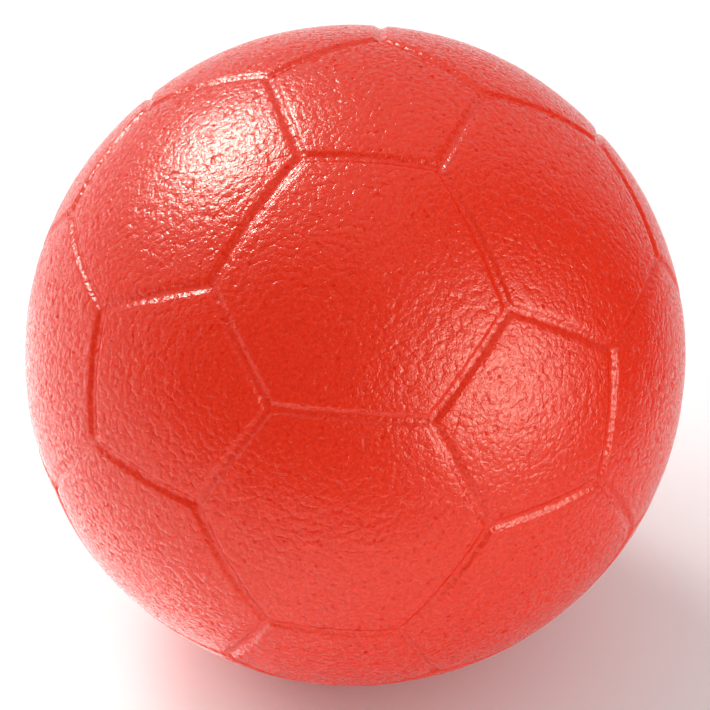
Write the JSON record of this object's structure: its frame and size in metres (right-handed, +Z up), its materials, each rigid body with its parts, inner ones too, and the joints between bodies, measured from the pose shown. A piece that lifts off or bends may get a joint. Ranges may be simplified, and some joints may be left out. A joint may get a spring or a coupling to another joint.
{
  "type": "soft soccer ball",
  "caption": "Soft foam soccer ball: a moulded foam core in a continuous pebble-grained flexible skin, with shallow channels marking out pentagon and hexagon panels.",
  "frame": {"origin": "the middle of the ball", "axes": "+Z up through the middle of a pentagon panel, X a two-fold axis of the pattern, -Y towards the viewer, so that the front hexagon panel lies between -Y and +Z"},
  "size_m": [0.1994, 0.1996, 0.2],
  "materials": {
    "skin_coat": "flexible polyurethane coat, satin, with a fine pebble grain",
    "core_foam": "open-cell polyurethane foam, dull"
  },
  "bodies": {
    "root": {"skin": "skin_coat", "foam_core": "core_foam"}
  },
  "joints": []
}
